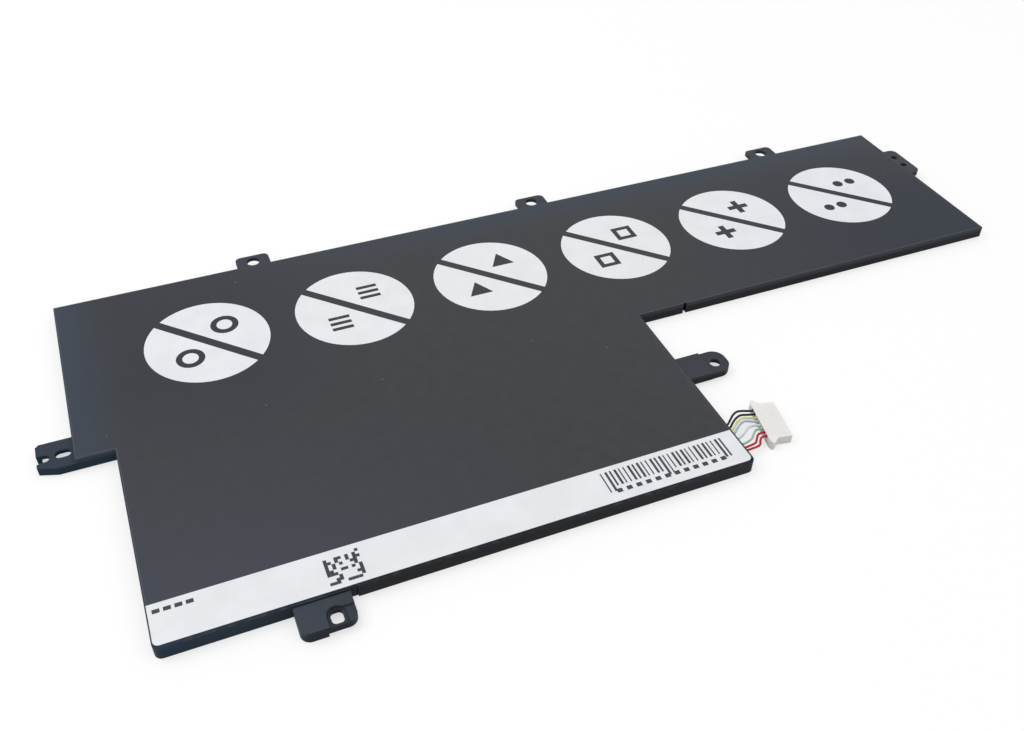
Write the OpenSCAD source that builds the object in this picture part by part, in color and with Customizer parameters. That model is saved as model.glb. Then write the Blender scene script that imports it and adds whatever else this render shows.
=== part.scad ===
// Slim laptop battery: a moulded frame with mounting tabs, three flat pouch cells,
// a protection board, a printed film on top and a short eight-way lead.
// Millimetres. X runs along the long edge, Y to the back, Z up from the resting face.
// The origin is the middle of the underside, tabs included.

/* [Frame] */
// Length of the long arm, without tabs
arm_l = 257.5; // [240:0.1:280]
// Depth of the long arm, back to front
arm_d = 59; // [56:0.5:64]
// Left end of the long arm
arm_left = -126.6; // [-130:0.1:-124]
// Left side of the front block
block_left = -117.8; // [-122:0.1:-114]
// Right side of the front block
block_right = 16.2; // [15.8:0.1:20]
// How far the block reaches in front of the arm
block_d = 57; // [56.8:0.1:62]
// Height of the moulded frame
frame_h = 3.2; // [3.2:0.05:4.2]
// Thickness of the outer walls
wall = 1.2; // [0.8:0.1:1.6]
// Radius of the two front corners of the block
corner_r = 1.6; // [0.8:0.2:3]
// Thickness of the roof over the board and the welds
roof_t = 0.6; // [0.5:0.1:0.9]

/* [Mounting tabs] */
// Width of a back tab
back_tab_w = 9.2; // [8:0.2:12]
// How far a back tab stands out
back_tab_out = 5.1; // [4.8:0.1:7]
// Hole in each back tab
back_hole_d = 3.6; // [3:0.1:3.8]
// Hole in the right tab
right_hole_d = 2.8; // [2:0.1:3.2]
// Width of the slot in the front tab
front_slot_w = 2.6; // [2.2:0.1:3]
// Width of the slots in the left tab
left_slot_w = 2.4; // [2.2:0.1:2.8]
// Diameter of the two pin holes in the end tab
pin_hole_d = 2; // [1.4:0.1:2.4]
// Material left under a screw head
web_t = 1; // [0.8:0.1:1.2]

/* [Cells] */
// Length of one pouch cell body
cell_l = 112; // [100:0.5:112]
// Width of one pouch cell body
cell_w = 54; // [50:0.2:54]
// Radius of the soft corners of a pouch cell
cell_r = 2.5; // [1:0.5:4]

/* [Films] */
// Thickness of the printed top film
film_t = 0.09; // [0.06:0.01:0.15]
// Thickness of each layer of ink
ink_t = 0.03; // [0.02:0.01:0.05]
// Radius of a printed disc
disc_r = 15.7; // [12:0.1:17]
// Distance between printed discs
disc_pitch = 38.65; // [35:0.05:40]
// Depth of the white strip along the front
strip_d = 10.1; // [6:0.1:14]

/* [Lead] */
// Outer diameter of one wire
wire_d = 0.55; // [0.5:0.05:0.7]
// Distance between neighbouring contacts
pitch = 1.25; // [1.2:0.05:1.3]
// Height of the connector housing
plug_h = 2.4; // [2.4:0.1:3]
// Depth of the connector housing, wires to mating side
plug_d = 5.8; // [5:0.1:7]

/* [Hidden] */
eps = 0.01;
$fn = 48;

arm_right = arm_left + arm_l;
block_front = -block_d;
roof_z = frame_h - roof_t;

// Levels from the resting face up
film_z = 0.1;
floor_z = 0.25;
pad_t = 0.1;
cell_z = floor_z + pad_t;
cell_h = frame_h - cell_z;
weld_z = 1.65;
weld_t = 0.1;
strip_t = 0.15;
board_t = 0.6;
board_z = floor_z + board_t;
top_z = frame_h + film_t;

// Bays in the frame
bay_back = arm_d - wall;
bay_arm_front = 1.2;
rib_front = -0.8;
bay_arm_l = arm_left + wall;
bay_arm_r = arm_right - wall;
bay_block_l = block_left + wall;
bay_block_r = block_right - wall;
bay_block_front = block_front + wall;
roof_arm_l = bay_arm_l + cell_l + 0.4;
roof_arm_r = bay_arm_r - cell_l - 0.4;
roof_block_l = bay_block_l + cell_l + 0.4;

// Cells: body centre lines and the sealed edge that carries the terminals
arm_left_x = bay_arm_l + cell_l / 2 + 0.2;
arm_right_x = bay_arm_r - cell_l / 2 - 0.2;
arm_cell_y = (bay_back + bay_arm_front) / 2;
block_cell_x = bay_block_l + cell_l / 2 + 0.2;
block_cell_y = (bay_block_front + rib_front) / 2;
terrace_l = 4.5;
terrace_t = 0.4;
tab_w = 6;
tab_l = 5;
tab_dy = 12.5;
arm_tip_l = arm_left_x + cell_l / 2 + terrace_l;
arm_tip_r = arm_right_x - cell_l / 2 - terrace_l;
strip_z = weld_z + weld_t / 2;

// Tabs: how far a root reaches into the frame, then the places and levels of each tab
root = 3;
back_tab_x = [-73.4, 11.3, 92.8];
back_hole_y = 61.2;
back_tab_z = 1.9;
back_tab_top = 3;
right_hole = [25.5, -23.2];
right_tab_end = 29;
right_tab_y = -26.6;
right_tab_w = 7.7;
right_tab_z = 0.5;
right_tab_top = 2.5;
right_head_d = 4.6;
left_slot = [-129, 4.3];
left_slot_l = 3.7;
left_mouth_y = 4;
left_end = -134.8;
left_tab_w = 9;
left_tab_top = 2.2;
front_slot = [-83.1, -61.6];
front_slot_l = 3.4;
front_slot_r = 0.9;
front_tab_l = -90.9;
front_tab_r = -79.1;
front_tab_end = -64.1;
front_tab_top = 2.9;
front_seat_z = 2.2;
front_rib_top = 2.45;
front_thin_z = 0.9;
end_holes = [[132, 42.9], [132, 38.1]];
right_end = 134.8;
end_tab_y = 33.1;
end_tab_w = 14;
end_tab_z = 1.6;

// Board
board_x = 0;
board_r = 14.6;
board_front = -55.6;
board_back = -2;

// Lead: connector place, turned a little clockwise seen from above
plug_at = [24.6, -45.5];
plug_turn = -10.8;
wire_r = wire_d / 2;
entry_z = 1.75;
lane_z = board_z + wire_r + 0.03;
ways = 8;
entry_depth = 1;
function pin_y(i) = ((ways - 1) / 2 - i) * pitch;
function on_plug(p) = [plug_at[0] + p[0] * cos(plug_turn) - p[1] * sin(plug_turn),
    plug_at[1] + p[0] * sin(plug_turn) + p[1] * cos(plug_turn)];
function lane_x(i) = 14 - 0.8 * i;
function lane_end(i) = i < 4 ? -24 : -29;

// Free stretch of each wire, from the exit gap to just before the connector: x, y, z
ROUTES = [
    [[14.3, -42.7, 1.3], [15.8, -43.8, 1.6], [17.3, -43.1, 1.8], [18.7, -42, 2],
     [20, -41, 2.1], [21.5, -40.4, 2.1], [23.2, -40.6, 1.9]],
    [[13.7, -43.7, 1.3], [15.7, -44.9, 1.6], [17.2, -44.3, 1.8], [18.6, -43.2, 2],
     [20, -42.3, 2.1], [21.5, -41.8, 2.1], [23.1, -42, 1.9]],
    [[13.1, -44.7, 1.3], [15.3, -45.9, 1.6], [17, -45.4, 1.8], [18.5, -44.3, 2],
     [20, -43.3, 2.1], [21.5, -42.8, 2.1], [23, -43.1, 1.9]],
    [[12.3, -45.7, 1.3], [14.9, -47, 1.6], [16.8, -46.6, 1.8], [18.4, -45.4, 2],
     [19.9, -44.4, 2.1], [21.4, -43.9, 2.1], [22.9, -44.3, 1.9]],
    [[11.5, -46.9, 1.3], [14.5, -48.4, 1.6], [16.7, -48.3, 1.8], [18.4, -47.8, 2],
     [19.9, -46.9, 2.1], [21.3, -46, 2.1], [22.7, -45.8, 1.9]],
    [[10.7, -48.5, 1.3], [13.9, -50, 1.6], [16.3, -50.1, 1.8], [18.3, -50, 1.9],
     [20, -49.4, 2], [21.2, -48.3, 2], [22.5, -47.3, 1.9]],
    [[9.9, -50.1, 1.3], [13.3, -51.4, 1.6], [16.1, -51.3, 1.8], [18.3, -51.2, 1.9],
     [20.2, -50.8, 1.9], [21.3, -49.6, 1.9], [22.4, -48.6, 1.8]],
    [[9.2, -51.3, 1.3], [13, -52.1, 1.6], [16.1, -52.1, 1.7], [18.5, -52.1, 1.8],
     [20.8, -51.7, 1.8], [21.6, -50.6, 1.8], [22.3, -49.9, 1.8]]
];
function route(i) = concat(
    [[lane_x(i), lane_end(i), lane_z], [lane_x(i), ROUTES[i][0][1] + 3, lane_z]],
    ROUTES[i],
    [concat(on_plug([-0.6, pin_y(i)]), [entry_z]), concat(on_plug([entry_depth, pin_y(i)]), [entry_z])]);

// Square with its four corners rounded by circles
module round_rect(w, d, r) {
    translate([r, 0]) square([w - 2 * r, d]);
    translate([0, r]) square([w, d - 2 * r]);
    for (x = [r, w - r], y = [r, d - r])
        translate([x, y]) circle(r);
}

// Box from two opposite corners
module box(a, b) {
    translate(a) cube(b - a);
}

// Slot with round ends, long way along X
module slot(l, w) {
    translate([w / 2 - l / 2, -w / 2]) square([l - w, w]);
    for (s = [-1, 1])
        translate([s * (l - w) / 2, 0]) circle(d = w);
}

// Outline of the arm and the block, moved in by e on every side
module outline(e = 0) {
    translate([arm_left + e, e]) square([arm_l - 2 * e, arm_d - 2 * e]);
    r = corner_r - min(e, corner_r - 0.2);
    x0 = block_left + e;
    x1 = block_right - e;
    y0 = block_front + e;
    translate([x0 + r, y0]) square([x1 - x0 - 2 * r, r]);
    translate([x0, y0 + r]) square([x1 - x0, e - y0]);
    for (x = [x0 + r, x1 - r])
        translate([x, y0 + r]) circle(r);
}

// Tab on the back wall: a thin plate with soft corners and a round hole
module back_tab(x) {
    translate([x - back_tab_w / 2, arm_d - root, back_tab_z])
        linear_extrude(back_tab_top - back_tab_z)
            round_rect(back_tab_w, back_tab_out + root, 1.5);
}

module back_tab_cuts(x) {
    translate([x, back_hole_y, -1])
        cylinder(d = back_hole_d, h = frame_h + 2);
}

// Tab on the right of the block, with a lower outer end round its hole
module right_tab() {
    translate([block_right - root, right_tab_y, right_tab_z])
        linear_extrude(right_tab_top - right_tab_z)
            round_rect(right_tab_end - block_right + root, right_tab_w, 3.2);
    box([block_right - 1, right_tab_y - 0.1, right_tab_z],
        [right_hole[0] - 2.4, right_tab_y + right_tab_w + 0.2, right_tab_top + 0.3]);
}

module right_tab_cuts() {
    translate([right_hole[0], right_hole[1], -1]) {
        cylinder(d = right_hole_d, h = 5);
        cylinder(d = right_head_d, h = 1 + right_tab_top - web_t);
    }
}

// Tab on the left end of the arm, with a closed slot, an open slot and a hollow underside
module left_tab() {
    difference() {
        linear_extrude(left_tab_top)
            polygon([[arm_left + 1, 0], [left_end + 4.2, 0], [left_end, 1.4],
                [left_end, left_tab_w], [arm_left + 1, left_tab_w]]);
        translate([left_end, left_tab_w, -1])
            cylinder(r = 0.6, h = 4);
    }
}

module left_tab_cuts() {
    translate([left_slot[0], left_slot[1], -1])
        linear_extrude(5)
            slot(left_slot_l, left_slot_w);
    // Open slot at the outer end, with a flared mouth
    translate([left_end, left_mouth_y, -1]) {
        linear_extrude(5) slot(5.8, 2.2);
        linear_extrude(5) polygon([[-1, -1.6], [1.4, -1.1], [1.4, 1.1], [-1, 1.2]]);
    }
    box([left_end + 1, 1.6, -1], [arm_left - 0.8, left_tab_w - 1, left_tab_top - web_t - 0.1]);
}

// Tab on the front wall: a thick left half, a thin right half and a pocket round the slot
module front_tab() {
    translate([front_tab_l, front_tab_end, 0])
        linear_extrude(front_tab_top)
            round_rect(front_tab_r - front_tab_l, 9, 2.2);
}

module front_tab_cuts() {
    // Pocket under the screw head, open to the front
    translate([front_slot[0], front_slot[1] - 2, front_seat_z])
        linear_extrude(1)
            rotate(90) slot(8.4, 4.2);
    // Lower rib to the right of the pocket
    box([front_slot[0], front_tab_end - 1, front_rib_top],
        [front_tab_r + 0.4, block_front - root, front_tab_top + 0.3]);
    // Relief under the thin half
    box([front_slot[0] - 2.4, front_tab_end - 1, -1],
        [front_tab_r + 0.4, block_front - 0.2, front_thin_z]);
    translate([front_slot[0] - front_slot_w / 2, front_slot[1] - front_slot_l / 2, -1])
        linear_extrude(6)
            round_rect(front_slot_w, front_slot_l, front_slot_r);
}

// Tab on the right end of the arm with two pin holes
module end_tab() {
    translate([arm_right - root, end_tab_y, end_tab_z])
        linear_extrude(frame_h - end_tab_z)
            round_rect(right_end - arm_right + root, end_tab_w, 2);
}

module end_tab_cuts() {
    for (h = end_holes)
        translate([h[0], h[1], -1])
            cylinder(d = pin_hole_d, h = 6);
}

// Space for a cell, open at the top, from left x to right x
module cell_bay(x0, x1, y0, y1) {
    box([x0, y0, floor_z - eps], [x1, y1, frame_h + 1]);
}

module frame() color([0.14, 0.15, 0.165]) {
    difference() {
        union() {
            linear_extrude(frame_h) outline();
            for (x = back_tab_x) back_tab(x);
            right_tab();
            left_tab();
            front_tab();
            end_tab();
        }
        // Shallow recess for the bottom film
        translate([0, 0, -1])
            linear_extrude(1 + floor_z)
                outline(wall - 0.4);
        cell_bay(bay_arm_l, roof_arm_l, bay_arm_front, bay_back);
        cell_bay(roof_arm_r, bay_arm_r, bay_arm_front, bay_back);
        cell_bay(bay_block_l, roof_block_l, bay_block_front, rib_front);
        // Bays under the roof, for the welds and the board
        box([roof_arm_l - 1, bay_arm_front, 0], [roof_arm_r + 1, bay_back, roof_z]);
        box([roof_block_l - 1, bay_block_front, 0], [bay_block_r, rib_front, roof_z]);
        box([roof_block_l, rib_front - 1, 0], [bay_block_r, bay_arm_front + 1, roof_z]);
        // Gap where the lead leaves
        box([bay_block_r - 1, -53.6, board_z + 0.02], [block_right + 1, -41.6, roof_z]);
        // Slit in the front wall of the arm
        box([29.6, -1, -1], [30.5, bay_arm_front + eps, frame_h + 1]);
        // Shallow recess beside the front tab
        box([front_tab_r, block_front - 1, -1], [front_tab_r + 1.6, block_front + 0.4, frame_h + 1]);
        for (x = back_tab_x) back_tab_cuts(x);
        right_tab_cuts();
        left_tab_cuts();
        front_tab_cuts();
        end_tab_cuts();
    }
    // Posts that hold the roof up between the strips
    for (p = [[-6.6, 29.5], [10.4, 29.5], [2, 52], [-6.6, 5]])
        translate([p[0], p[1], floor_z])
            cylinder(d = 2.4, h = roof_z - floor_z + 0.1);
}

module bottom_film() color([0.1, 0.1, 0.11]) {
    translate([0, 0, film_z])
        linear_extrude(floor_z - film_z)
            outline(wall - 0.3);
}

// Thin double-sided pad under a cell
module cell_pad(x, y) color([0.85, 0.85, 0.8]) {
    translate([x - cell_l / 2 + 6, y - cell_w / 2 + 6, floor_z])
        cube([cell_l - 12, cell_w - 12, pad_t]);
}

// Flat pouch cell: soft body, side seams folded up, thin sealed edge at one end.
// dir is 1 where the sealed edge faces +X.
module pouch_cell(x, y, dir) color([0.72, 0.74, 0.76]) {
    translate([x - cell_l / 2, y - cell_w / 2, cell_z]) {
        linear_extrude(cell_h) round_rect(cell_l, cell_w, cell_r);
        // Folded seams along both long sides
        for (s = [0, 1])
            translate([4, s == 0 ? -0.3 : cell_w - eps, 0.5])
                cube([cell_l - 8, 0.3 + eps, cell_h - 1.2]);
    }
    translate([x + dir * (cell_l / 2 + terrace_l / 2 - 0.1), y, weld_z - terrace_t / 2])
        translate([-terrace_l / 2 - 0.1, -cell_w / 2 + 2, 0])
            cube([terrace_l + 0.2, cell_w - 4, terrace_t]);
}

// Pair of metal terminals that leave the sealed edge
module terminals(x, y, dir) color([0.8, 0.8, 0.82]) {
    for (s = [-1, 1])
        translate([x + dir * (cell_l / 2 + terrace_l + tab_l / 2), y + s * tab_dy, weld_z])
            translate([-tab_l / 2, -tab_w / 2, -weld_t / 2])
                cube([tab_l, tab_w, weld_t]);
}

// Strip of thickness t that starts level at height z1, slopes down from x1 to x2
// and ends level at height z2; w is its width along Y
module bent_strip(x0, x1, x2, x3, z1, z2, w, t) {
    rotate([90, 0, 0])
        translate([0, 0, -w / 2])
            linear_extrude(w)
                polygon([[x0, z1], [x1, z1], [x2, z2], [x3, z2],
                    [x3, z2 + t], [x2 + t, z2 + t], [x1 + t, z1 + t], [x0, z1 + t]]);
}

module terminals_block() color([0.8, 0.8, 0.82]) {
    for (s = [-1, 1])
        translate([block_cell_x + cell_l / 2 + terrace_l, block_cell_y + s * tab_dy, 0])
            bent_strip(0, 1.4, 2.4, 4.3, weld_z - weld_t / 2, board_z, tab_w, weld_t);
}

// Nickel strips welded on the terminals
module arm_link_strip() color([0.66, 0.66, 0.64]) {
    box([arm_tip_l + 0.4, arm_cell_y + tab_dy - 2.5, strip_z],
        [arm_tip_r - 0.4, arm_cell_y + tab_dy + 2.5, strip_z + strip_t]);
}

// Strip from a front terminal of the arm down to the board, w wide at x
module tap(x, w) {
    translate([x + w / 2, 0, 0])
        rotate(-90)
            bent_strip(-(arm_cell_y - tab_dy) - 2.5, 0.4, 2.4, 7, strip_z, board_z, w, strip_t);
}

module mid_tap_strip() color([0.66, 0.66, 0.64]) {
    tap(0.6, 4);
    box([arm_tip_l + 0.4, arm_cell_y - tab_dy - 2.5, strip_z],
        [0.8, arm_cell_y - tab_dy + 2.5, strip_z + strip_t]);
}

module positive_strip() color([0.66, 0.66, 0.64]) {
    tap(8.4, 4);
}

// Protection board with two round corners and a notch on its cell side
module circuit_board() color([0.05, 0.25, 0.14]) {
    translate([0, 0, floor_z])
        linear_extrude(board_t)
            difference() {
                translate([board_x, board_front])
                    round_rect(board_r - board_x, board_back - board_front, 1);
                translate([board_x - 1, -31.5]) square([1.8, 5.8]);
                for (y = [-10, -54]) translate([board_r - 1.6, y]) circle(d = 1.2);
            }
}

// Part on the board: centre x, y, size along X, Y, Z
module chip(x, y, size) {
    translate([x - size[0] / 2, y - size[1] / 2, board_z]) cube(size);
}

module gauge_chip() color([0.08, 0.08, 0.09]) {
    difference() {
        chip(7.3, -13.2, [5, 5, 0.9]);
        translate([5.5, -11.4, board_z + 0.8]) cylinder(d = 0.8, h = 1);
    }
}

module switch_transistors() color([0.1, 0.1, 0.11]) {
    for (x = [7, 11.4]) {
        chip(x, -19.6, [3.2, 3.2, 0.85]);
        // Flat leads along both sides
        for (s = [-1, 1], k = [-1.5:1:1.5])
            chip(x + k * 0.65 * 1.2, -19.6 + s * 1.7, [0.35, 0.5, 0.2]);
    }
}

module thermal_fuse() color([0.85, 0.82, 0.74]) {
    chip(12, -13.4, [3.2, 4, 0.9]);
    for (s = [-1, 1]) chip(12, -13.4 + s * 2.1, [2.2, 0.5, 0.5]);
}

module sense_resistor() color([0.12, 0.12, 0.13]) {
    chip(5.9, -33.4, [3.1, 4.8, 0.6]);
    for (s = [-1, 1]) chip(5.9, -33.4 + s * 2.8, [3.1, 0.9, 0.55]);
}

module small_capacitors() color([0.62, 0.5, 0.36]) {
    for (x = [5.3, 6.7], y = [-24.4, -26.6, -47, -49.2, -51.4])
        chip(x, y, [0.6, 1.1, 0.55]);
}

// Bead on the sealed edge of the block cell, with two flat leads down to the board
module thermistor() color([0.1, 0.1, 0.1]) {
    translate([-2.6, block_cell_y - 1.1, weld_z + terrace_t / 2 + 0.35])
        rotate([-90, 0, 0])
            cylinder(d = 0.7, h = 2.2);
    for (s = [-0.7, 0.7])
        translate([0, block_cell_y + s, 0])
            bent_strip(-2.6, 1, 2.4, 3.4, weld_z + 0.45, board_z, 0.35, 0.12);
}

// Solder joint at the end of each wire
module solder_joints() color([0.78, 0.78, 0.78]) {
    for (i = [0:ways - 1])
        translate([lane_x(i), lane_end(i), board_z])
            rotate([90, 0, 180])
                linear_extrude(1.3)
                    intersection() {
                        circle(0.36 + 0.3);
                        translate([-0.34, 0]) square([0.68, 1]);
                    }
}

// Ring of eight points of radius r round point p, square to direction t
function unit(v) = v / norm(v);
function ring(p, t, r) = let (s = unit(cross(t, [0, 0, 1])), u = cross(s, unit(t)))
    [for (k = [0:7]) p + r * (cos(45 * k) * s + sin(45 * k) * u)];
function heading(pts, i) = pts[min(i + 1, len(pts) - 1)] - pts[max(i - 1, 0)];

// Round tube swept along the points of a route
module tube(pts, r) {
    n = len(pts);
    rings = [for (i = [0:n - 1]) each ring(pts[i], heading(pts, i), r)];
    sides = [for (i = [0:n - 2], k = [0:7])
        [i * 8 + k, (i + 1) * 8 + k, (i + 1) * 8 + (k + 1) % 8, i * 8 + (k + 1) % 8]];
    ends = [[for (k = [0:7]) k], [for (k = [7:-1:0]) (n - 1) * 8 + k]];
    polyhedron(rings, concat(sides, ends), convexity = 8);
}

module wire_black_back() color([0.05, 0.05, 0.05]) tube(route(0), wire_r);
module wire_black_front() color([0.05, 0.05, 0.05]) tube(route(1), wire_r);
module wire_yellow() color([0.85, 0.85, 0.35]) tube(route(2), wire_r);
module wire_blue() color([0.45, 0.6, 0.85]) tube(route(3), wire_r);
module wire_white() color([0.9, 0.92, 0.93]) tube(route(4), wire_r);
module wire_green() color([0.4, 0.7, 0.5]) tube(route(5), wire_r);
module wire_red_back() color([0.8, 0.1, 0.12]) tube(route(6), wire_r);
module wire_red_front() color([0.8, 0.1, 0.12]) tube(route(7), wire_r);

// Connector: a flat block with an ear on each side of the wire end and eight cavities
module connector_housing() color([0.9, 0.9, 0.88]) {
    half_w = (ways - 1) / 2 * pitch + 1.5;
    translate([plug_at[0], plug_at[1], 0])
        rotate(plug_turn)
            difference() {
                linear_extrude(plug_h)
                    polygon([[0, -half_w - 0.6], [0.5, -half_w - 1.5], [0.9, -half_w - 1.4],
                        [2.3, -half_w], [plug_d, -half_w], [plug_d, half_w], [2.3, half_w],
                        [0.9, half_w + 1.4], [0.5, half_w + 1.5], [0, half_w + 0.6]]);
                for (i = [0:ways - 1])
                    translate([0, pin_y(i), 0]) {
                        box([-1, -0.5, 1.2], [plug_d + 1, 0.5, 2.15]);
                        // Window under the latch of the contact
                        box([2.4, -0.35, -1], [3.9, 0.35, 1.3]);
                    }
                // Keyway along the mating edge, underneath
                box([plug_d - 2.2, -half_w + 1.6, -1], [plug_d + 1, half_w - 1.6, 0.25]);
            }
}

// Folded contacts that the wires are crimped into
module crimp_contacts() color([0.8, 0.76, 0.6]) {
    translate([plug_at[0], plug_at[1], 0])
        rotate(plug_turn)
            for (i = [0:ways - 1])
                translate([entry_depth, pin_y(i), 1.2])
                    difference() {
                        box([0, -0.4, 0], [4.2, 0.4, 0.9]);
                        box([1.6, -0.22, 0.2], [5, 0.22, 0.7]);
                    }
}

// Outline of the printed film: a little inside the frame, more along the front
module film_outline() {
    r = 1.2;
    x0 = block_left + 0.3;
    x1 = block_right - 0.5;
    y0 = block_front + 0.8;
    translate([arm_left + 0.25, 0.5]) square([arm_l - 0.75, arm_d - 0.8]);
    translate([x0, 0.3]) square([arm_right - 0.5 - x0, 1]);
    translate([x0, y0 + r]) square([x1 - x0, 1 - y0 - r]);
    translate([x0 + r, y0]) square([x1 - x0 - 2 * r, r + eps]);
    for (x = [x0 + r, x1 - r])
        translate([x, y0 + r]) circle(r);
}

module top_film() color([0.27, 0.28, 0.3]) {
    translate([0, 0, frame_h])
        linear_extrude(film_t)
            film_outline();
}

// Simple figures inside the printed discs, one for each disc
module figure(i) {
    if (i == 0) difference() { circle(3.6); circle(2); }
    if (i == 1) for (k = [-1:1]) translate([-2.8, 2.2 * k - 0.6]) square([5.6, 1.2]);
    if (i == 2) rotate(90) circle(3.8, $fn = 3);
    if (i == 3) difference() { square(6, center = true); square(3.2, center = true); }
    if (i == 4) for (a = [0, 90]) rotate(a) square([6.4, 1.8], center = true);
    if (i == 5) for (x = [-2.2, 2.2]) translate([x, 0]) circle(1.6);
}

// Six white discs, each parted by a dark diagonal band
module print_discs() color([0.93, 0.94, 0.96]) {
    for (i = [0:5])
        translate([-91.4 + i * disc_pitch, 30.7, top_z])
            linear_extrude(ink_t)
                difference() {
                    circle(disc_r);
                    rotate(-45) square([2 * disc_r + 1, 2.35], center = true);
                    translate([5.2, 5.2]) figure(i);
                    translate([-5.2, -5.2]) figure(i);
                }
}

module print_strip() color([0.93, 0.94, 0.96]) {
    translate([0, 0, top_z])
        linear_extrude(ink_t)
            intersection() {
                film_outline();
                translate([block_left, block_front]) square([block_right - block_left, 0.8 + strip_d]);
            }
}

// Dark marks on the white strip: bars, a square of small blocks and a short row of dashes
module print_marks() color([0.2, 0.21, 0.23]) {
    mark_y = block_front + 3;
    translate([0, 0, top_z + ink_t])
        linear_extrude(ink_t) {
            for (k = [0:27]) {
                long = k < 2 || k > 25 || k == 13 || k == 14;
                translate([-18.9 + 1.13 * k, mark_y + (long ? 0.6 : 2)])
                    square([0.3 + 0.14 * ((k * k + k) % 5), long ? 5.9 : 4.5]);
            }
            for (k = [0:11]) translate([-17.4 + 2.4 * k, mark_y]) square([1.3, 1.1]);
            for (a = [0:9], b = [0:9])
                if ((3 * a * a + 5 * b * b + 7 * a * b + a) % 11 < 5)
                    translate([-82.5 + 0.76 * a, mark_y - 1.05 + 0.76 * b]) square(0.74);
            for (k = [0:3]) translate([-116.6 + 2.2 * k, mark_y + 5.4]) square([1.5, 1]);
        }
}

frame();
bottom_film();
cell_pad(arm_left_x, arm_cell_y);  // cell_pad_arm_left
cell_pad(arm_right_x, arm_cell_y);  // cell_pad_arm_right
cell_pad(block_cell_x, block_cell_y);  // cell_pad_block
pouch_cell(arm_left_x, arm_cell_y, 1);  // cell_arm_left
pouch_cell(arm_right_x, arm_cell_y, -1);  // cell_arm_right
pouch_cell(block_cell_x, block_cell_y, 1);  // cell_block
terminals(arm_left_x, arm_cell_y, 1);  // terminals_arm_left
terminals(arm_right_x, arm_cell_y, -1);  // terminals_arm_right
terminals_block();
arm_link_strip();
mid_tap_strip();
positive_strip();
circuit_board();
gauge_chip();
switch_transistors();
thermal_fuse();
sense_resistor();
small_capacitors();
thermistor();
solder_joints();
wire_black_back();
wire_black_front();
wire_yellow();
wire_blue();
wire_white();
wire_green();
wire_red_back();
wire_red_front();
connector_housing();
crimp_contacts();
top_film();
print_discs();
print_strip();
print_marks();
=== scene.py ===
# %% [markdown]
# # A slim laptop battery, dressed for a studio picture
# The real object is a flat pack that hides under a laptop's keyboard: a moulded plastic
# frame with screw tabs, three foil cells laid in it, a film with printed discs on top, and a
# short lead of eight thin wires that ends in a white connector. The solids come from a CAD
# model and act as a fixed frame here. This script gives every part that can be seen its
# finish, and makes again the parts that need softer shapes: the wires, the film, the moulded
# frame and the connector. All sizes are real, in metres, so a number in millimetres is
# always multiplied by MM.
# %% Load the fixed frame
import math

import bmesh
import bpy
import numpy as np
from mathutils import Euler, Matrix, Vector


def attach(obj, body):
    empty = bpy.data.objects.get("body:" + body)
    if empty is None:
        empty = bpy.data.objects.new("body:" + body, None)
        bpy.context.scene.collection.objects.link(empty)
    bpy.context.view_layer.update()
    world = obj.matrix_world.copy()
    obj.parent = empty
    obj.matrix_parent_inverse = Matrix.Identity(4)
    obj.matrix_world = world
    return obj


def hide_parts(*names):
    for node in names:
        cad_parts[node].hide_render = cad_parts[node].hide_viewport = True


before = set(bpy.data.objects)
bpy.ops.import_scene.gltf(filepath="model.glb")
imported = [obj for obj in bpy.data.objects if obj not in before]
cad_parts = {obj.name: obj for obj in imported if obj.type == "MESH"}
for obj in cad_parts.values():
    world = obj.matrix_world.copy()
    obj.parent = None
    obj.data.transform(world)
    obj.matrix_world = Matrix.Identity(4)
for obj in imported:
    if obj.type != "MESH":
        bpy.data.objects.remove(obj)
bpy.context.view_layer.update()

MM = 0.001
print("CAD nodes:", len(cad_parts))


def new_object(name, data):
    """A Blender object that holds data and is in the scene, at the origin and unturned."""
    made = bpy.data.objects.new(name, data)
    bpy.context.scene.collection.objects.link(made)
    return made


# %% [markdown]
# ## The camera
# The picture is taken from about a quarter of a metre away, above the front left corner.
# A camera in Blender looks along its own -Z axis, so three turns place it: X tips it up from
# looking straight down, Z swings it round the object, and a small Y turn levels the picture.
# The numbers could be found by eye, but here they were worked out from the picture: the six
# printed discs are equal circles in one plane, and with the outline's corners they fix it.
# %% The camera
SENSOR_MM, LENS_MM = 36, 36.996
CAMERA_MM = (-100.87, -187.29, 176.65)
CAMERA_DEGREES = (48.6494, -0.8958, -22.4962)
camera_data = bpy.data.cameras.new("studio_camera")
camera_data.sensor_width = SENSOR_MM
camera_data.lens = LENS_MM
camera_data.clip_start, camera_data.clip_end = 0.01, 50
camera = new_object("studio_camera", camera_data)
camera.location = Vector(CAMERA_MM) * MM
camera.rotation_euler = Euler([math.radians(a) for a in CAMERA_DEGREES])
bpy.context.scene.camera = camera
print("camera height in mm:", round(camera.location.z / MM, 1))

# %% [markdown]
# ## Rounding what the mould rounds
# A CAD solid has edges with no width at all, and they catch no light. The frame and the
# connector come out of moulds, where every edge is rounded by a tenth of a millimetre or so.
# The arcs could be drawn in the CAD source, but so small a radius would cost thousands of
# faces there and change no size. So a copy of the node is made here: its loose triangles are
# welded, flat neighbours are joined into whole faces, and a Bevel modifier rounds each edge
# that is sharper than a set angle.
# %% Softened copies of two solids
WELD_MM = 0.002       # corners nearer than this are one corner
FLAT_DEGREES = 0.5    # neighbours that turn less than this become one face
SHARP_DEGREES = 35    # an edge that turns more isn't shaded as a soft one
ROUND_DEGREES = 40    # an edge that turns more gets a radius


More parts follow.
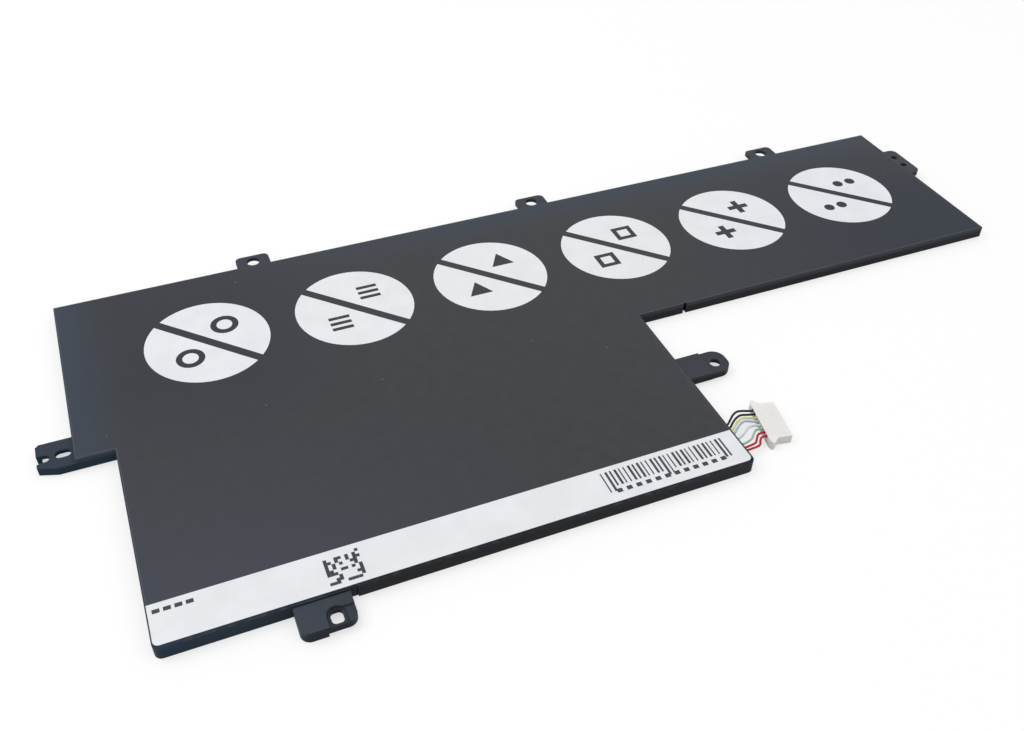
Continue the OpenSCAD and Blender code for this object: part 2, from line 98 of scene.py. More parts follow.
def softened_copy(node, name, round_mm, steps=2):
    """The CAD node again, with edges rounded to round_mm in a few steps, in its place."""
    mesh = bpy.data.meshes.new(name)
    work = bmesh.new()
    work.from_mesh(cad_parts[node].data)
    bmesh.ops.remove_doubles(work, verts=work.verts, dist=WELD_MM * MM)
    bmesh.ops.dissolve_limit(work, angle_limit=math.radians(FLAT_DEGREES),
                             verts=work.verts, edges=work.edges)
    for face in work.faces:
        face.smooth = True
    work.to_mesh(mesh)
    work.free()
    mesh.set_sharp_from_angle(angle=math.radians(SHARP_DEGREES))
    mesh.materials.clear()
    piece = new_object(name, mesh)
    edge = piece.modifiers.new("mould_radius", "BEVEL")
    edge.width, edge.segments = round_mm * MM, steps
    edge.limit_method, edge.angle_limit = "ANGLE", math.radians(ROUND_DEGREES)
    edge.use_clamp_overlap = True
    edge.harden_normals = True
    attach(piece, "root")
    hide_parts(node)
    print(name, "faces before rounding:", len(mesh.polygons))
    return piece


moulded_frame = softened_copy("frame", "moulded_frame", 0.12)
connector = softened_copy("connector_housing", "lead_connector", 0.09)

# %% [markdown]
# ## The wires, first their paths
# Eight thin stranded wires are soldered to the circuit board, run beside each other in
# lanes along it, leave through a gap in the frame's right wall and bend up into the connector.
# A wire this thin is limp but springy: it has no corners, only bends. Blender's own curves
# could draw them, but a path kept as numbers can be measured too. So each path is a smooth
# curve through eleven points. A cubic piece between two points needs a slope at each end,
# and the slope is taken from both neighbours, weighted by how near they are, which keeps a
# long straight piece straight beside a short bend.
# %% Points on each wire
WAYS, PITCH, WIRE_R = 8, 1.25, 0.275   # wires, their spacing in the connector, their radius
LANE_X, LANE_GAP, LANE_Z = 14, 0.8, 1.155
LANE_ENDS = (-24, -29)                 # y of the solder joints: first four wires, other four
LANE_STOP = 3                          # a lane ends so far before the wire's first free point
PLUG_AT = np.array([24.6, -45.5])      # the middle of the connector's wire side
PLUG_TURN = math.radians(-10.8)
ENTRY_Z = 1.75
# From the exit gap to just before the connector: x, y, z in millimetres
FREE = np.array([
    [[14.3, -42.7, 1.3], [15.8, -43.8, 1.6], [17.3, -43.1, 1.8], [18.7, -42, 2],
     [20, -41, 2.1], [21.5, -40.4, 2.1], [23.2, -40.6, 1.9]],
    [[13.7, -43.7, 1.3], [15.7, -44.9, 1.6], [17.2, -44.3, 1.8], [18.6, -43.2, 2],
     [20, -42.3, 2.1], [21.5, -41.8, 2.1], [23.1, -42, 1.9]],
    [[13.1, -44.7, 1.3], [15.3, -45.9, 1.6], [17, -45.4, 1.8], [18.5, -44.3, 2],
     [20, -43.3, 2.1], [21.5, -42.8, 2.1], [23, -43.1, 1.9]],
    [[12.3, -45.7, 1.3], [14.9, -47, 1.6], [16.8, -46.6, 1.8], [18.4, -45.4, 2],
     [19.9, -44.4, 2.1], [21.4, -43.9, 2.1], [22.9, -44.3, 1.9]],
    [[11.5, -46.9, 1.3], [14.5, -48.4, 1.6], [16.7, -48.3, 1.8], [18.4, -47.8, 2],
     [19.9, -46.9, 2.1], [21.3, -46, 2.1], [22.7, -45.8, 1.9]],
    [[10.7, -48.5, 1.3], [13.9, -50, 1.6], [16.3, -50.1, 1.8], [18.3, -50, 1.9],
     [20, -49.4, 2], [21.2, -48.3, 2], [22.5, -47.3, 1.9]],
    [[9.9, -50.1, 1.3], [13.3, -51.4, 1.6], [16.1, -51.3, 1.8], [18.3, -51.2, 1.9],
     [20.2, -50.8, 1.9], [21.3, -49.6, 1.9], [22.4, -48.6, 1.8]],
    [[9.2, -51.3, 1.3], [13, -52.1, 1.6], [16.1, -52.1, 1.7], [18.5, -52.1, 1.8],
     [20.8, -51.7, 1.8], [21.6, -50.6, 1.8], [22.3, -49.9, 1.8]],
])


def beside_plug(forward, way):
    """Point on the axis of one way of the connector: forward along its depth, then turned."""
    across = ((WAYS - 1) / 2 - way) * PITCH
    c, s = math.cos(PLUG_TURN), math.sin(PLUG_TURN)
    return [PLUG_AT[0] + forward * c - across * s, PLUG_AT[1] + forward * s + across * c, ENTRY_Z]


def wire_points(way):
    """All points of one wire: along its lane, through the gap, into the connector."""
    lane_x, lane_end = LANE_X - LANE_GAP * way, LANE_ENDS[way // 4]
    lane = [[lane_x, lane_end, LANE_Z], [lane_x, FREE[way, 0, 1] + LANE_STOP, LANE_Z]]
    just_before, inside = beside_plug(-0.6, way), beside_plug(1, way)
    return np.array([*lane, *FREE[way].tolist(), just_before, inside])


# %% A smooth curve through points
def smooth_path(points, steps=4):
    """Cubic pieces through the points. With h the distance between neighbours and d the
    slope of each straight piece, the slope at a point is (h_before * d_after + h_after *
    d_before) / (h_before + h_after). Each piece blends its two ends and two slopes."""
    h = np.linalg.norm(np.diff(points, axis=0), axis=1)[:, None]
    d = np.diff(points, axis=0) / h
    inner = (h[:-1] * d[1:] + h[1:] * d[:-1]) / (h[:-1] + h[1:])
    slope = np.vstack([d[:1], inner, d[-1:]])
    t = np.linspace(0, 1, steps, endpoint=False)[None, :, None]
    a, b = points[:-1, None], points[1:, None]
    ma, mb = (slope[:-1] * h)[:, None], (slope[1:] * h)[:, None]
    piece = ((2 * t**3 - 3 * t**2 + 1) * a + (t**3 - 2 * t**2 + t) * ma
             + (3 * t**2 - 2 * t**3) * b + (t**3 - t**2) * mb)
    return np.vstack([piece.reshape(-1, 3), points[-1:]])


# %% [markdown]
# ## The wires themselves
# A tube is a circle carried along a path. At each point of the path the circle stands square
# to the path's direction, in a plane spanned by a sideways and an upward vector. The wires
# never stand upright, so "sideways" is simply the direction crossed with straight up.
# %% A map on a mesh
def give_map(mesh, name, u, v):
    """A UV map from one u and one v for each vertex: the corner of a face takes the pair of
    its vertex."""
    corners = np.zeros(len(mesh.loops), np.int32)
    mesh.loops.foreach_get("vertex_index", corners)
    pairs = np.stack([u, v], 1)[corners]
    mesh.uv_layers.new(name=name).data.foreach_set("uv", pairs.astype(np.float32).ravel())


# %% A tube along a path
def tube_mesh(name, path, radius, sides=16):
    """Ring point = path point + radius * (cos a * sideways + sin a * up). The result is one
    closed mesh: quads between the rings and a flat face at each end."""
    along = np.gradient(path, axis=0)
    along /= np.linalg.norm(along, axis=1)[:, None]
    sideways = np.cross(along, [0, 0, 1])
    sideways /= np.linalg.norm(sideways, axis=1)[:, None]
    up = np.cross(sideways, along)
    angle = np.linspace(0, 2 * math.pi, sides, endpoint=False)[None, :, None]
    circle = np.cos(angle) * sideways[:, None] + np.sin(angle) * up[:, None]
    rings = path[:, None] + radius * circle
    number = np.arange(len(path) * sides).reshape(-1, sides)
    turned = np.roll(number, -1, 1)
    quads = np.stack([number[:-1], number[1:], turned[1:], turned[:-1]], -1).reshape(-1, 4)
    mesh = bpy.data.meshes.new(name)
    mesh.from_pydata(rings.reshape(-1, 3).tolist(), [],
                     [*quads.tolist(), number[0].tolist(), number[-1, ::-1].tolist()])
    travelled = np.r_[0, np.cumsum(np.linalg.norm(np.diff(path, axis=0), axis=1))]
    give_map(mesh, "sleeve", np.repeat(travelled / MM, sides),
             np.tile(np.arange(sides) / sides, len(path)))
    mesh.polygons.foreach_set("use_smooth", [len(p.vertices) == 4 for p in mesh.polygons])
    return mesh


# %% Eight wires
WIRES = [
    ("black_back", 32.5), ("black_front", 33.5), ("yellow", 35), ("blue", 36.5),
    ("white", 33), ("green", 35.5), ("red_back", 37.5), ("red_front", 39),
]
wires = {}
for way, (name, length_mm) in enumerate(WIRES):
    path = smooth_path(wire_points(way)) * MM
    wire = new_object("lead_" + name, tube_mesh("lead_" + name, path, WIRE_R * MM))
    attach(wire, "root")
    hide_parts("wire_" + name)
    wires[name] = wire
    print(name, "wire, length in mm:",
          round(float(np.linalg.norm(np.diff(path, axis=0), axis=1).sum()) / MM, 1))

# %% [markdown]
# ## A small language for finishes
# A Blender material is a graph of nodes. Written out node by node it hides what it does, so
# one small class wraps an output socket and lets Python's own signs add the Math nodes: a
# mask can be written as 1 - edge * 0.5. Every other node comes from one method, which takes
# the node's type, then its settings, then its inputs. Places on the object are masks too: a
# ramp rises from 0 to 1 between two points of an axis, either way round.
# %% The class that writes shader maths
X, Y, Z = 0, 1, 2


class Signal:
    """A socket of a material's node tree that can be calculated with."""

    def __init__(self, tree, socket=None):
        self.tree, self.socket = tree, socket

    def node(self, kind, settings=None, inputs=None, output=0):
        """Adds a shader node: settings first, then sockets by name or number."""
        made = self.tree.nodes.new("ShaderNode" + kind)
        for key, value in (settings or {}).items():
            setattr(made, key, value)
        for key, value in (inputs or {}).items():
            if isinstance(value, Signal):
                self.tree.links.new(value.socket, made.inputs[key])
            else:
                made.inputs[key].default_value = value
        return Signal(self.tree, made.outputs[output] if len(made.outputs) else None)

    def maths(self, operation, *values):
        """One Math node on up to three numbers or signals."""
        return self.node("Math", {"operation": operation}, dict(enumerate(values)))

    def __add__(self, other): return self.maths("ADD", self, other)
    def __sub__(self, other): return self.maths("SUBTRACT", self, other)
    def __rsub__(self, other): return self.maths("SUBTRACT", other, self)
    def __mul__(self, other): return self.maths("MULTIPLY", self, other)
    def __lt__(self, other): return self.maths("LESS_THAN", self, other)
    __radd__, __rmul__ = __add__, __mul__

    def background_rays(self):
        """1 for rays that show the background: to the camera, off gloss, or through glass."""
        path = self.node("LightPath").socket.node
        seen = Signal(self.tree, path.outputs["Is Camera Ray"])
        for kind in ("Is Glossy Ray", "Is Transmission Ray"):
            seen = seen.maths("MAXIMUM", seen, Signal(self.tree, path.outputs[kind]))
        return seen

    def rise(self, low, high):
        """0 below low, 1 above high, and a smooth step between them."""
        return self.node("MapRange", {"interpolation_type": "SMOOTHSTEP"},
                         {"Value": self, "From Min": low, "From Max": high})


class Finish(Signal):
    """A new material, with the signals that most finishes start from."""

    def __init__(self, name):
        self.material = bpy.data.materials.new(name)
        self.material.use_nodes = True
        super().__init__(self.material.node_tree)
        self.tree.nodes.clear()
        self.place = self.node("TexCoord", output=3)

    def axis(self, k):
        """One of the three numbers of the place on the object, in metres."""
        return self.node("SeparateXYZ", inputs={0: self.place}, output=k)

    def ramp(self, k, low_mm, high_mm):
        """0 before low, 1 past high along one axis, whichever of the two is larger."""
        return self.axis(k).rise(low_mm * MM, high_mm * MM)

    def stretched(self, scale):
        """The place, scaled on each axis, which squeezes a pattern by as much."""
        return self.node("Mapping", inputs={"Vector": self.place, "Scale": scale})

    def noise(self, size_mm, detail=2.0, vector=None, rough=0.5):
        """Soft random value about 0.5, with grains about size_mm across."""
        return self.node("TexNoise", inputs={"Vector": vector or self.place,
                                             "Scale": 1 / MM / size_mm, "Detail": detail,
                                             "Roughness": rough})

    def cells(self, size_mm):
        """Distance to the nearest of many scattered points, in cells about size_mm across."""
        return self.node("TexVoronoi", inputs={"Vector": self.place,
                                               "Scale": 1 / MM / size_mm})

    def blend(self, factor, first, second):
        """Colour first where factor is 0, second where it is 1."""
        return self.node("Mix", {"data_type": "RGBA"}, {0: factor, 6: first, 7: second},
                         output=2)

    def bumps(self, *layers):
        """Stacks bumps. Each layer is a height signal and its height in millimetres."""
        normal = None
        for height, height_mm in layers:
            inputs = {"Height": height, "Distance": height_mm * MM, "Strength": 1.0}
            if normal:
                inputs["Normal"] = normal
            normal = self.node("Bump", inputs=inputs)
        return normal

    def surface(self, constants=None, **sockets):
        """Ends the graph in a Principled shader. constants are the sockets that stay the
        same all over; the others may change from place to place."""
        inputs = {name.replace("_", " "): value for name, value in sockets.items()}
        shader = self.node("BsdfPrincipled", inputs={**inputs, **(constants or {})})
        self.node("OutputMaterial", inputs={"Surface": shader})
        print("finish:", self.material.name, len(self.tree.nodes), "nodes")
        return self.material


def srgb(red, green, blue):
    """A colour as a picture gives it, 0 to 255, turned into the light a shader needs."""
    value = np.array([red, green, blue]) / 255
    light = np.where(value <= 0.04045, value / 12.92, ((value + 0.055) / 1.055) ** 2.4)
    return (*light.tolist(), 1.0)


# %% [markdown]
# ## The finish of the moulded frame
# The frame is black glass-filled plastic from a mould with a fine spark-eroded grain. What
# makes it read as moulded is small: a grain of a few tenths of a millimetre, faint flow
# clouds, and edges that are rubbed a little lighter. The lighter rub is kept to where hands
# reach, near the top edge, so it is a mask on height. In the picture the walls look nearly
# black and the flat tabs lighter, and towards the left the walls turn a deep teal. That is how
# the light falls on them, and it is painted into the colour: painted shade on the walls,
# darker towards the bottom and deep teal to the left, and painted light on the tops of the tabs.
# Height parts walls from tabs, but the front wall and the end of the front tab keep the painted
# shade up to their top, and two masks on the depth keep them so. A painted image could hold
# all this, but it would need a map of every wall and go soft close up, while noise in space
# has no seams.
# %% Moulded plastic
def moulded_plastic():
    """Painted shade on the walls below, painted light on the tab tops above, then clouds, grain
    and wear over both.
    """
    f = Finish("frame_moulded_plastic")
    grain = f.noise(0.3, detail=3, rough=0.6)
    clouds = f.noise(14, detail=2)
    worn = f.ramp(Z, 3, 3.2) * f.noise(1.6, detail=4).rise(0.45, 0.7)
    # Painted shade and light: the walls' colour is painted shade, deep teal to the left, and the
    # tabs' colour is painted light.
    painted_shade_wall = f.blend(f.ramp(X, -70, -118), srgb(19, 20, 23), srgb(20, 46, 64))
    painted_light_tab = f.blend(f.ramp(X, -40, -120), srgb(60, 63, 71), srgb(61, 67, 78))
    # Painted shade on the front wall and on the end face of the front tab, up to their top.
    painted_shade_front_wall = f.ramp(Y, -57.2, -57.05) * f.ramp(Y, -55.5, -56)
    painted_shade_tab_end = f.ramp(Y, -63.7, -64) * (1 - f.ramp(Z, 2.8, 2.9))
    dark = f.maths("MAXIMUM", painted_shade_front_wall, painted_shade_tab_end)
    # Painted shade: darker towards the bottom of the walls, rising by height into the painted
    # light of the tabs.
    base = f.blend(f.ramp(Z, 1.5, 2.8) * (1 - dark * 0.9), painted_shade_wall, painted_light_tab)
    base = f.blend(clouds.rise(0.35, 0.65) * 0.2, base, srgb(40, 43, 52))
    base = f.blend(grain.rise(0.45, 0.7) * 0.16, base, srgb(78, 82, 92))
    base = f.blend(worn * 0.3, base, srgb(74, 79, 87))
    return f.surface({"Specular IOR Level": 0.12}, Base_Color=base,
                     Roughness=0.52 + (grain - 0.5) * 0.3,
                     Normal=f.bumps((grain, 0.025), (clouds, 0.02)))


frame_finish = moulded_plastic()

# %% [markdown]
# ## The finish of the charcoal film
# The film is a thin sheet of printed polyester with a satin face. It is almost one colour,
# a slightly blue charcoal. Broad soft masks paint light and shade into it by a few levels, as
# the picture shows: a little lighter at the front left, darker at the back left, darker and
# bluer to the far right, and cooler along the left and back edges. Up close it has a very fine
# matt emboss, long soft waves where it lies over the cells, and a few specks of dust. Its cut
# edge and rounded rim are painted pale, for the pale core of the sheet and for a painted
# highlight along the rim. That rim could be a ring of faces with a material of its own, but a
# ring has a hard border. Instead the piece's own UV map holds the distance from the cut, and
# the rim fades in with it.
# %% Charcoal film
def charcoal_film():
    """One charcoal with painted light and shade by place, then the emboss, the pale rim with a
    painted highlight, and dust over it.
    """
    f = Finish("charcoal_film")
    emboss = f.noise(0.22, detail=2)
    waves = f.noise(38, detail=1, vector=f.stretched((1.0, 0.55, 1.0)))
    dust = f.cells(9.0) < 0.018
    mottle = f.noise(3.5, detail=3).rise(0.3, 0.7)
    base = f.blend(mottle, srgb(62, 63, 67), srgb(65, 66, 70))
    # Painted light and shade by place: lighter at the front left, darker at the back left, darker
    # and bluer to the far right, cooler along the left and back edges.
    painted_shade_far_right = f.ramp(X, 20, 125) * f.ramp(Y, 75, 15)
    base = f.blend(painted_shade_far_right, base, srgb(49, 54, 63))
    painted_light_front_left = f.ramp(Y, 0, -60) * f.ramp(X, -20, -110)
    base = f.blend(painted_light_front_left, base, srgb(69, 72, 82))
    painted_shade_back_left = f.ramp(X, -45, -90) * f.ramp(Y, -15, 25)
    base = f.blend(painted_shade_back_left, base, srgb(57, 59, 65))
    painted_cool_edges = f.maths("MAXIMUM", f.ramp(X, -112, -127), f.ramp(Y, 46, 60) * f.ramp(X, -120, 10))
    base = f.blend(painted_cool_edges * 0.8, base, srgb(61, 70, 82))
    base = f.blend(emboss.rise(0.45, 0.7) * 0.1, base, srgb(88, 91, 97))
    # Painted pale rim: the pale core of the sheet on the cut, and a painted highlight along the
    # rounded edge.
    edge_map = f.node("UVMap", {"uv_map": "edge"})
    rim_core_and_painted_highlight = 1 - f.node("SeparateXYZ", inputs={0: edge_map}, output=Y).rise(0.05, 0.24)
    base = f.blend(rim_core_and_painted_highlight * 0.55, base, srgb(126, 130, 138))
    base = f.blend(dust * 0.5, base, srgb(170, 172, 175))
    return f.surface({"Specular IOR Level": 0.1}, Base_Color=base,
                     Roughness=0.5 + (emboss - 0.5) * 0.2 + (mottle - 0.5) * 0.04,
                     Normal=f.bumps((emboss, 0.01), (waves, 0.25)))


film_finish = charcoal_film()

# %% [markdown]
# ## Inks
# Screen-printed ink lies on the film as a layer a few hundredths of a millimetre thick. The
# white is not quite even: it is thinner in places, so the dark film dulls it by a hair, and
# it has the fine dot grain of the screen. The dark marks on the white are the same ink in
# grey, a little duller. A flat white would look pasted on, so the ink goes from a thin colour
# to a full one. The shapes are CAD solids already, and only need this finish.
# %% White and dark ink
def screen_ink(name, thin, full, roughness):
    """Ink between its thin and its full colour, with the fine dots of the screen."""
    f = Finish(name)
    screen = f.noise(0.12, detail=1)
    density = f.noise(6, detail=4).rise(0.2, 0.75)
    base = f.blend(density, thin, full)
    return f.surface({"Specular IOR Level": 0.3}, Base_Color=base,
                     Roughness=roughness + (screen - 0.5) * 0.2,
                     Normal=f.bumps((screen, 0.004)))


white_ink = screen_ink("white_ink", srgb(229, 231, 235), srgb(236, 238, 242), 0.5)
dark_ink = screen_ink("dark_ink", srgb(56, 58, 63), srgb(66, 68, 74), 0.6)

# %% [markdown]
# ## Wire sleeves
# The sleeves are soft extruded plastic: glossy, with faint lines along the wire and a little
# unevenness in the colour. The lines have to follow each bend, so they are a noise on the
# wire's own map, drawn out along it. One recipe takes the colour, so all eight wires match in
# kind.
# %% Wire sleeves
def wire_sleeve(name, colour, shade):
    """Two near colours in soft patches, under lines that run along the wire."""
    f = Finish("sleeve_" + name)
    sleeve = f.node("UVMap", {"uv_map": "sleeve"})
    drawn = f.node("Mapping", inputs={"Vector": sleeve, "Scale": (0.3 * MM, 14 * MM, 1.0)})
    lines = f.noise(1.0, detail=2, vector=drawn)
    base = f.blend(f.noise(1.8, detail=2).rise(0.35, 0.7), srgb(*colour), srgb(*shade))
    return f.surface({"Specular IOR Level": 0.25}, Base_Color=base,
                     Roughness=0.34 + (lines - 0.5) * 0.2,
                     Normal=f.bumps((lines, 0.006)))


SLEEVES = {
    "black": wire_sleeve("black", (8, 8, 9), (14, 14, 16)),
    "yellow": wire_sleeve("yellow", (226, 225, 140), (210, 208, 116)),
    "blue": wire_sleeve("blue", (172, 193, 214), (154, 178, 206)),
    "white": wire_sleeve("white", (214, 222, 226), (198, 208, 214)),
    "green": wire_sleeve("green", (168, 210, 184), (132, 188, 158)),
    "red": wire_sleeve("red", (200, 18, 42), (176, 10, 32)),
}
for name, wire in wires.items():
    wire.data.materials.append(SLEEVES[name.split("_")[0]])

# %% [markdown]
# ## The white connector
# The housing is natural nylon, slightly milky: light goes a little way in, so it never looks
# like paint. A bright white paint would pass at first sight, but subsurface scattering also
# softens the light at the edges, as the real plastic does, and a little of it is enough. The
# parts that the eye never reaches without a screwdriver, such as the cells and the board,
# get honest finishes too, because the model may be opened up.
# %% Nylon, metals and the inner parts
def natural_nylon():
    """Milky plastic: a warm white with a little light under its skin."""
    f = Finish("natural_nylon")
    flow = f.noise(1.4, detail=3)
    base = f.blend(flow.rise(0.2, 0.8), srgb(242, 238, 235), srgb(238, 234, 231))
    return f.surface({"Specular IOR Level": 0.4, "Subsurface Weight": 0.25,
                      "Subsurface Radius": (0.9 * MM, 0.8 * MM, 0.7 * MM),
                      "Subsurface Scale": 1.0},
                     Base_Color=base, Roughness=0.38 + (flow - 0.5) * 0.2,
                     Normal=f.bumps((flow, 0.004)))


def thin_metal(name, colour, dark, roughness):
    """Rolled strip: scratches much longer than they are wide, and a few dull stains."""
    f = Finish(name)
    brushed = f.noise(0.5, detail=4, vector=f.stretched((1.0, 9.0, 1.0)))
    stain = f.noise(4, detail=3).rise(0.55, 0.75)
    base = f.blend(stain, srgb(*colour), srgb(*dark))
    return f.surface(Base_Color=base, Metallic=1 - stain * 0.1,
                     Roughness=roughness + (brushed - 0.5) * 0.3,
                     Normal=f.bumps((brushed, 0.01)))


def pouch_foil():
    """Laminated foil: a dimpled deep-drawn skin with soft creases."""
    f = Finish("pouch_foil")
    dimples = f.cells(0.8)
    creases = f.noise(7, detail=4, vector=f.stretched((0.4, 1.0, 1.0)))
    base = f.blend(creases.rise(0.4, 0.7), srgb(196, 198, 202), srgb(172, 175, 180))
    return f.surface(Base_Color=base, Metallic=0.9 - creases * 0.1,
                     Roughness=0.36 + (dimples - 0.5) * 0.1,
                     Normal=f.bumps((dimples, 0.01), (creases, 0.12)))


def board_mask():
    """Green mask over copper: narrow raised traces that run along the board."""
    f = Finish("board_mask")
    bands = f.node("TexWave", {"bands_direction": "X"},
                   {"Vector": f.place, "Scale": 260.0, "Distortion": 1.5, "Detail": 1.0},
                   output=1)
    trace = bands.rise(0.55, 0.7)
    base = f.blend(trace, srgb(16, 62, 40), srgb(34, 92, 58))
    return f.surface({"Specular IOR Level": 0.5}, Base_Color=base,
                     Roughness=0.3 + trace * 0.08, Normal=f.bumps((trace, 0.03)))


def speckled(name, colour, fleck, size_mm, roughness, height_mm=0.01):
    """A plain body with flecks: moulded chips, ceramic parts, tape."""
    f = Finish(name)
    flecks = f.noise(size_mm, detail=3)
    base = f.blend(flecks.rise(0.45, 0.65), srgb(*colour), srgb(*fleck))
    return f.surface({"Specular IOR Level": 0.35}, Base_Color=base,
                     Roughness=roughness + (flecks - 0.5) * 0.2,
                     Normal=f.bumps((flecks, height_mm)))


# %% Which node gets which finish
moulded_frame.data.materials.append(frame_finish)
connector.data.materials.append(natural_nylon())
chip_body = speckled("chip_body", (26, 26, 28), (36, 36, 38), 0.15, 0.55)
nickel = thin_metal("nickel_strip", (186, 184, 178), (150, 147, 140), 0.3)
# The first words that a node's name holds decide
FINISHES = {
    "bottom_film": speckled("dark_film", (27, 28, 30), (34, 35, 38), 0.3, 0.48, 0.006),
    "cell_pad": speckled("tape_pad", (220, 218, 206), (204, 200, 186), 0.5, 0.8),
    "cell_": pouch_foil(),
    "terminals_": thin_metal("terminal_metal", (206, 206, 209), (176, 176, 178), 0.32),
    "arm_link": nickel, "mid_tap": nickel, "positive": nickel,
    "circuit_board": board_mask(),
    "gauge_chip": chip_body, "switch_": chip_body, "sense_": chip_body,
    "thermistor": chip_body,
    "thermal_fuse": speckled("fuse_body", (222, 214, 196), (204, 194, 172), 0.3, 0.5),
    "capacitors": speckled("capacitor_body", (168, 138, 102), (146, 116, 84), 0.2, 0.45),
    "solder": thin_metal("solder_bead", (200, 200, 200), (168, 168, 170), 0.28),
    "contacts": thin_metal("contact_tin", (214, 206, 184), (184, 172, 142), 0.26),
    "print_discs": white_ink, "print_strip": white_ink, "print_marks": dark_ink,
}
for name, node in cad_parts.items():
    finish = next((FINISHES[words] for words in FINISHES if words in name), frame_finish)
    for slot in node.material_slots:
        slot.material = finish
print("finishes given to", len(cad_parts), "nodes")

# %% [markdown]
# ## The film with its soft edge
# A sheet of film is cut with a knife and pressed down by hand. Its edge is never a ruled
# line: it wanders by some hundredths of a millimetre and its rim bends down a little. A flat
# polygon with a Solidify modifier has the thickness, but neither the wander nor the rim. So
# the film is a profile carried round its outline. The outline is an array of points, with each
# corner an arc, and the profile steps inwards and up from the frame's top to the sheet's face.
# %% The film's outline
FRAME_TOP, FILM_T = 3.2, 0.09
OUTLINE_STEP, ARC_POINTS = 1.5, 7
FILM_CORNERS = [  # x, y and corner radius in millimetres, anticlockwise seen from above
    (-117.5, -56.2, 1.2), (15.7, -56.2, 1.2), (15.7, 0.3, 0.3), (130.4, 0.3, 0.4),
    (130.4, 58.7, 0.4), (-126.35, 58.7, 0.4), (-126.35, 0.5, 0.4), (-117.5, 0.5, 0.3),
]


def rounded_outline(corners, step_mm):
    """Points round a polygon with an arc in each corner, spaced about step_mm along the
    straights. The arc's centre lies on the corner's bisector, and its points turn from one
    side's normal to the next."""
    points = []
    count = len(corners)
    for k in range(count):
        here = np.array(corners[k][:2])
        before = here - np.array(corners[k - 1][:2])
        after = np.array(corners[(k + 1) % count][:2]) - here
        before, after = before / np.linalg.norm(before), after / np.linalg.norm(after)
        turn = before[0] * after[1] - before[1] * after[0]
        radius = corners[k][2]
        centre = here - before * radius + np.array([-before[1], before[0]]) * radius * turn
        start = math.atan2(-before[0] * turn, before[1] * turn)
        angles = start + np.linspace(0, math.pi / 2, ARC_POINTS) * turn
        arc = centre + radius * np.stack([np.cos(angles), np.sin(angles)], 1)
        if points:
            points.append(straight(points[-1][-1], arc[0], step_mm))
        points.append(arc)
    points.append(straight(points[-1][-1], points[0][0], step_mm))
    return np.vstack(points)


def straight(start, end, step_mm):
    """Evenly spaced points between two ends, the ends left out."""
    number = max(2, int(np.linalg.norm(end - start) / step_mm))
    t = np.linspace(0, 1, number + 1)[1:-1, None]
    return start + (end - start) * t


# %% The film's sheet
def outward(points):
    """Unit normals of a closed anticlockwise line: the direction along it, turned right."""
    along = np.roll(points, -1, 0) - np.roll(points, 1, 0)
    along /= np.linalg.norm(along, axis=1)[:, None]
    return np.stack([along[:, 1], -along[:, 0]], 1)


def carried_profile(outline, profile, wander):
    """Surface points: outline + normal * (wander - inset), at the profile's height. outline
    is (n, 2), profile is (m, 2) of inset and height, and the result is (n, m, 3)."""
    normal = outward(outline)
    shift = wander[:, None] - profile[None, :, 0]
    place = outline[:, None] + normal[:, None] * shift[..., None]
    height = np.broadcast_to(profile[None, :, 1], place.shape[:2])
    return np.concatenate([place, height[..., None]], 2)


# How far the cut wanders, the waves in one round, and where each wave starts
RIPPLES = [(0.035, 23, 0), (0.03, 57, 1), (0.02, 131, 0)]
# Inset from the cut and height over the frame: up the cut, round its rim, onto the face
EDGE_PROFILE = np.array([[0, 0], [0.0, 0.05], [0.03, 0.078], [0.1, 0.087], [0.25, FILM_T]])


def film_sheet():
    """The edge profile carried round the outline, with a flat face on top and one below. The
    cut wanders by a sum of size * sin(waves * turn + start), where turn goes from 0 to a full
    circle along the outline."""
    outline = rounded_outline(FILM_CORNERS, OUTLINE_STEP)
    along = np.cumsum(np.linalg.norm(np.diff(outline, axis=0, prepend=outline[-1:]), axis=1))
    turn = 2 * math.pi * along / along[-1]
    wander = sum(size * np.sin(waves * turn + start) for size, waves, start in RIPPLES)
    surface = carried_profile(outline, EDGE_PROFILE + [0, FRAME_TOP], wander)
    n, m = surface.shape[:2]
    number = np.arange(n * m).reshape(n, m)
    after = np.roll(number, -1, 0)
    quads = np.stack([number[:, :-1], after[:, :-1], after[:, 1:], number[:, 1:]], -1)
    faces = [*quads.reshape(-1, 4).tolist(), number[:, -1].tolist(), number[::-1, 0].tolist()]
    mesh = bpy.data.meshes.new("printed_film")
    mesh.from_pydata((surface.reshape(-1, 3) * MM).tolist(), [], faces)
    give_map(mesh, "edge", np.repeat(along / along[-1], m), np.tile(EDGE_PROFILE.sum(1), n))
    mesh.materials.append(film_finish)
    print("film outline points:", n)
    return mesh


printed_film = new_object("printed_film", film_sheet())
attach(printed_film, "root")
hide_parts("top_film")

# %% [markdown]
# ## Floor, backdrop and light
# The picture was taken on white with very soft light from all round. A plain pale floor
# keeps the shadow, and the sky above it is plain white too. The light is a soft sky and two
# large lamps, at a level where a white surface comes out just below pure white, so colours
# look about as they are written. The floor's own colour is a mid grey, so that it throws
# little light back up. What the camera sees of it is made white by emission on background
# rays only: most of the way near the object, so that the shadow stays, and wholly far away,
# so that the floor has no edge against the sky.
# %% Floor
FLOOR_HALF = 6.0       # metres from the middle to each side
FLOOR_DROP_MM = 0.1    # how far the floor lies below the object
FLOOR_LINES = 9        # grid lines each way
NEAR_WHITE = 0.62      # emission near the object; the rest of the white is light on the floor


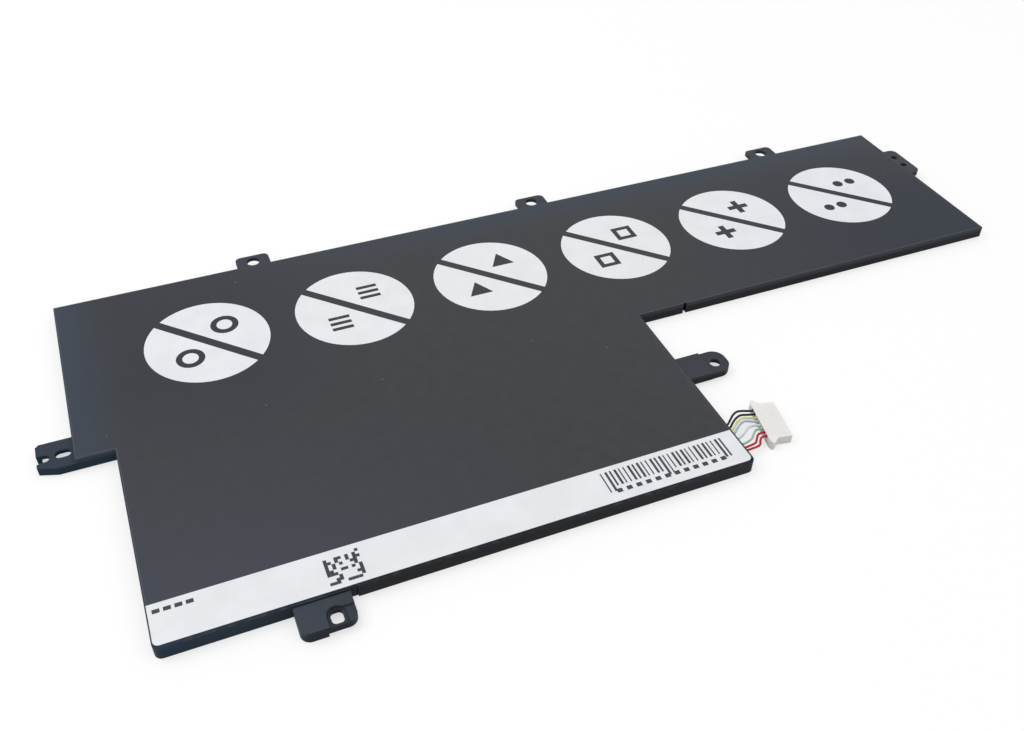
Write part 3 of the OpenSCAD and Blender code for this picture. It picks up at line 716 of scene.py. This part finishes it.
def studio_floor(half_size, drop_mm, lines):
    """A flat square sheet just under the object: x and y on a grid, z the same all over."""
    line = np.linspace(-half_size, half_size, lines)
    x, y = np.meshgrid(line, line)
    points = np.stack([x, y, np.full_like(x, -drop_mm * MM)], -1).reshape(-1, 3)
    number = np.arange(x.size).reshape(x.shape)
    faces = np.stack([number[:-1, :-1], number[:-1, 1:], number[1:, 1:], number[1:, :-1]], -1)
    mesh = bpy.data.meshes.new("studio_floor")
    mesh.from_pydata(points.tolist(), [], faces.reshape(-1, 4).tolist())
    return mesh


def studio_paper():
    """Grey paper under light, and white to background rays, more so far from the object."""
    f = Finish("studio_floor")
    paper = f.blend(f.noise(2.0, detail=2), (0.39, 0.39, 0.39, 1), (0.41, 0.41, 0.41, 1))
    reach = f.node("VectorMath", {"operation": "LENGTH"}, {0: f.place}, output=1)
    white = f.background_rays() * (NEAR_WHITE + (1 - NEAR_WHITE) * reach.rise(0.5, 3.0))
    return f.surface({"Specular IOR Level": 0.0, "Roughness": 0.9, "Emission Strength": 1.0},
                     Base_Color=paper,
                     Emission_Color=f.blend(white, (0, 0, 0, 1), (1, 1, 1, 1)))


floor = new_object("studio_floor", studio_floor(FLOOR_HALF, FLOOR_DROP_MM, FLOOR_LINES))
floor.data.materials.append(studio_paper())

# %% Sky and lamps
SKY_LEVEL = 0.68  # as light on the object; background rays see the sky at 1
world = bpy.data.worlds.new("studio_sky")
world.use_nodes = True
bpy.context.scene.world = world
sky = Signal(world.node_tree)
world.node_tree.nodes.clear()
strength = SKY_LEVEL + sky.background_rays() * (1 - SKY_LEVEL)
glow = sky.node("Background", inputs={"Color": (1, 1, 1, 1), "Strength": strength})
sky.node("OutputWorld", inputs={"Surface": glow})


def softbox(name, place, size, watts):
    """A square lamp that looks at the origin; the larger it is, the softer its shadow."""
    data = bpy.data.lights.new(name, "AREA")
    data.size, data.energy = size, watts
    lamp = new_object(name, data)
    lamp.location = place
    lamp.rotation_euler = (-Vector(place)).to_track_quat("-Z", "Y").to_euler()


softbox("key_lamp", place=(-0.55, 0.25, 0.95), size=0.9, watts=4.2)
softbox("fill_lamp", place=(0.7, -0.5, 0.8), size=0.8, watts=1.1)
bpy.context.scene.view_settings.view_transform = "Standard"
